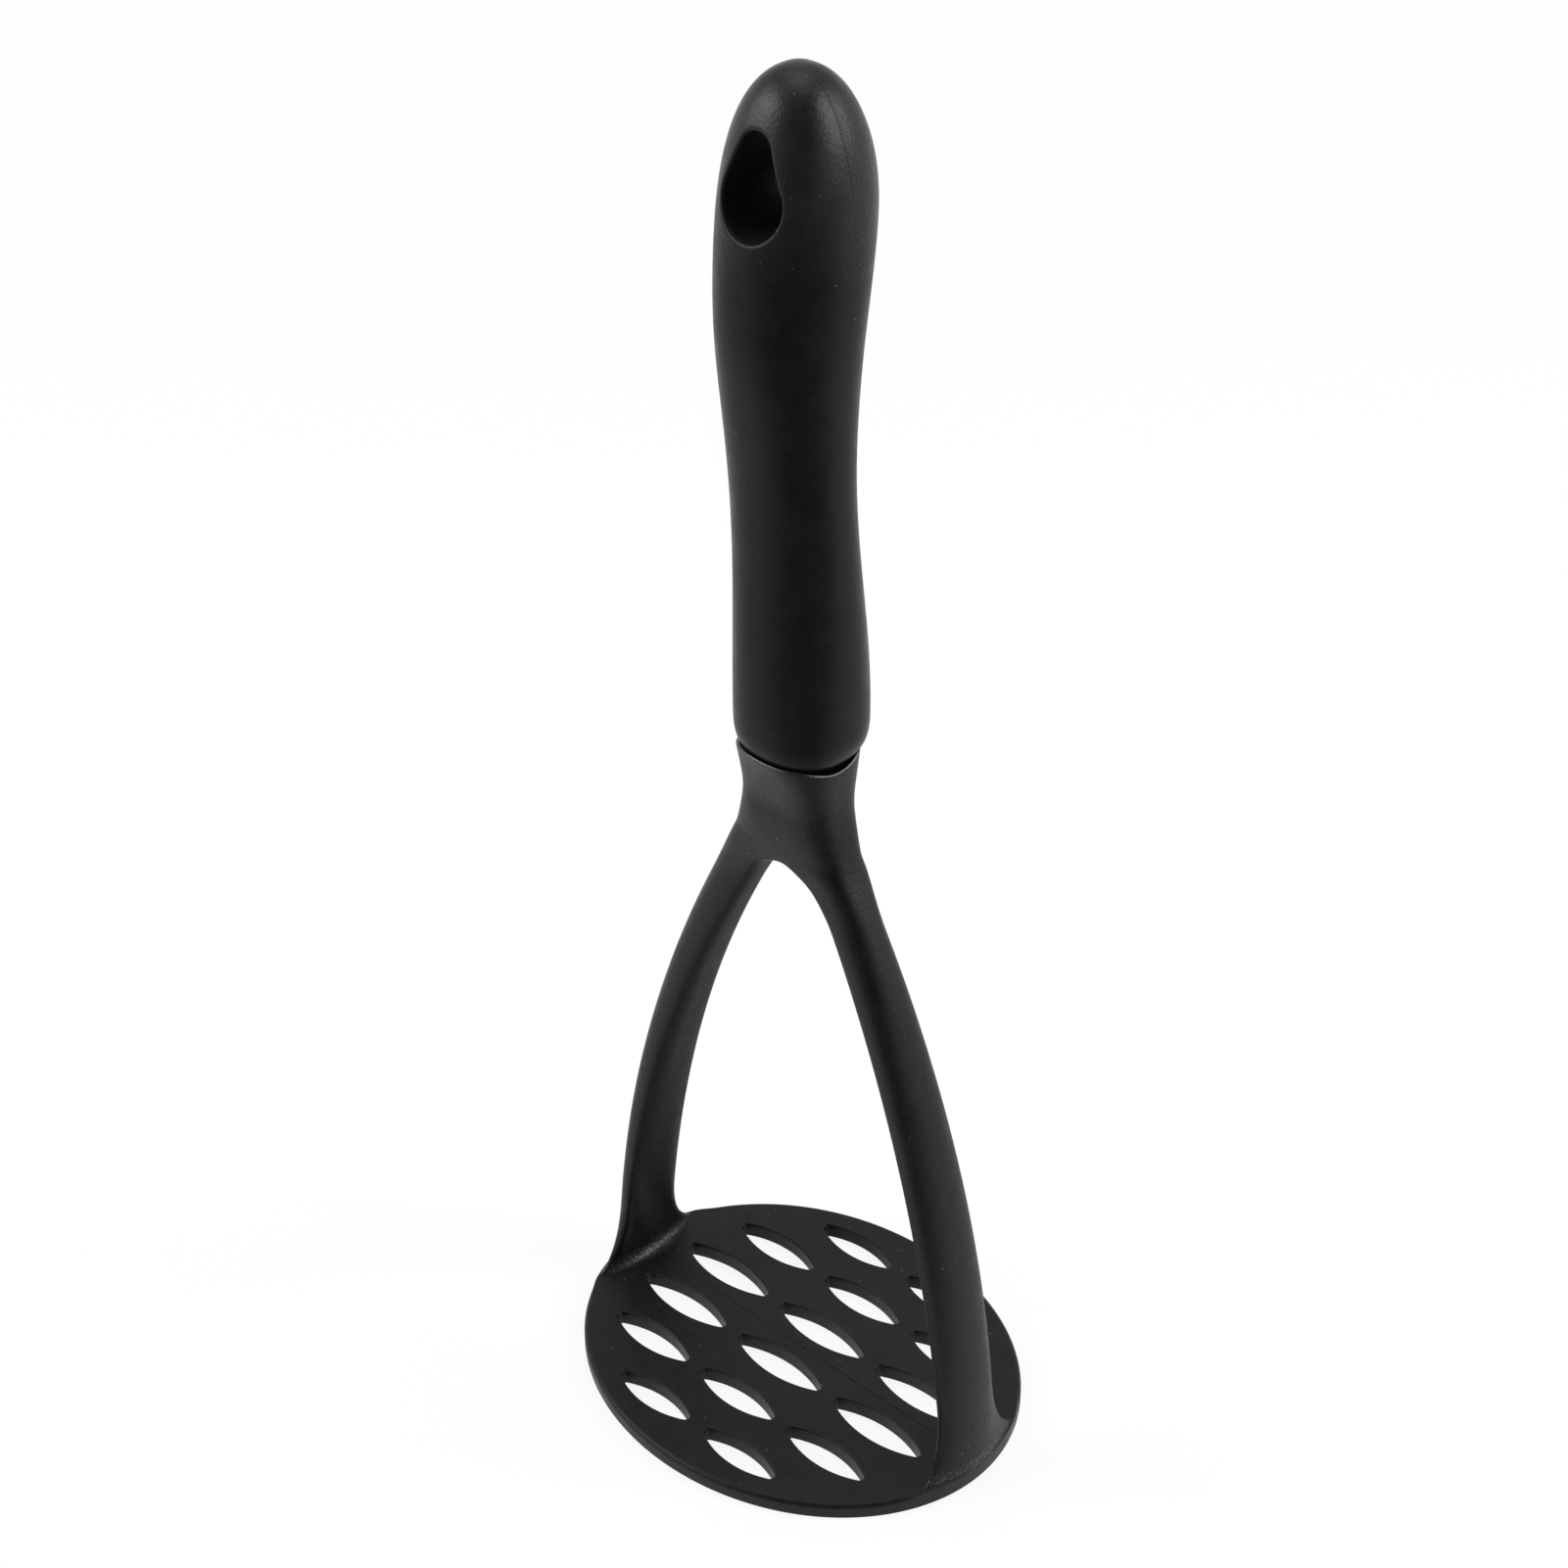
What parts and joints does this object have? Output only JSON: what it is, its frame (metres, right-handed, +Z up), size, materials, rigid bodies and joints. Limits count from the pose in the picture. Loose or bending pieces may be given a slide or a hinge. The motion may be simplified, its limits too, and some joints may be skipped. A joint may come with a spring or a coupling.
{
  "type": "potato masher",
  "caption": "Hand potato masher with an oval slotted plate, an arched two-legged neck and a contoured handle with a hanging hole.",
  "frame": {"origin": "middle of the mashing plate's underside, on the surface it rests on", "axes": "+Z up along the handle, +X and -X towards the two feet, -Y to the front of the handle's palm curve"},
  "size_m": [0.09, 0.0746, 0.2591],
  "materials": {
    "nylon": "fine-grained satin black nylon",
    "handle_plastic": "smooth satin black"
  },
  "bodies": {
    "root": {"mashing_plate": "nylon", "leg_left": "nylon", "leg_right": "nylon", "neck": "nylon", "tang": "nylon", "handle": "handle_plastic"}
  },
  "joints": []
}
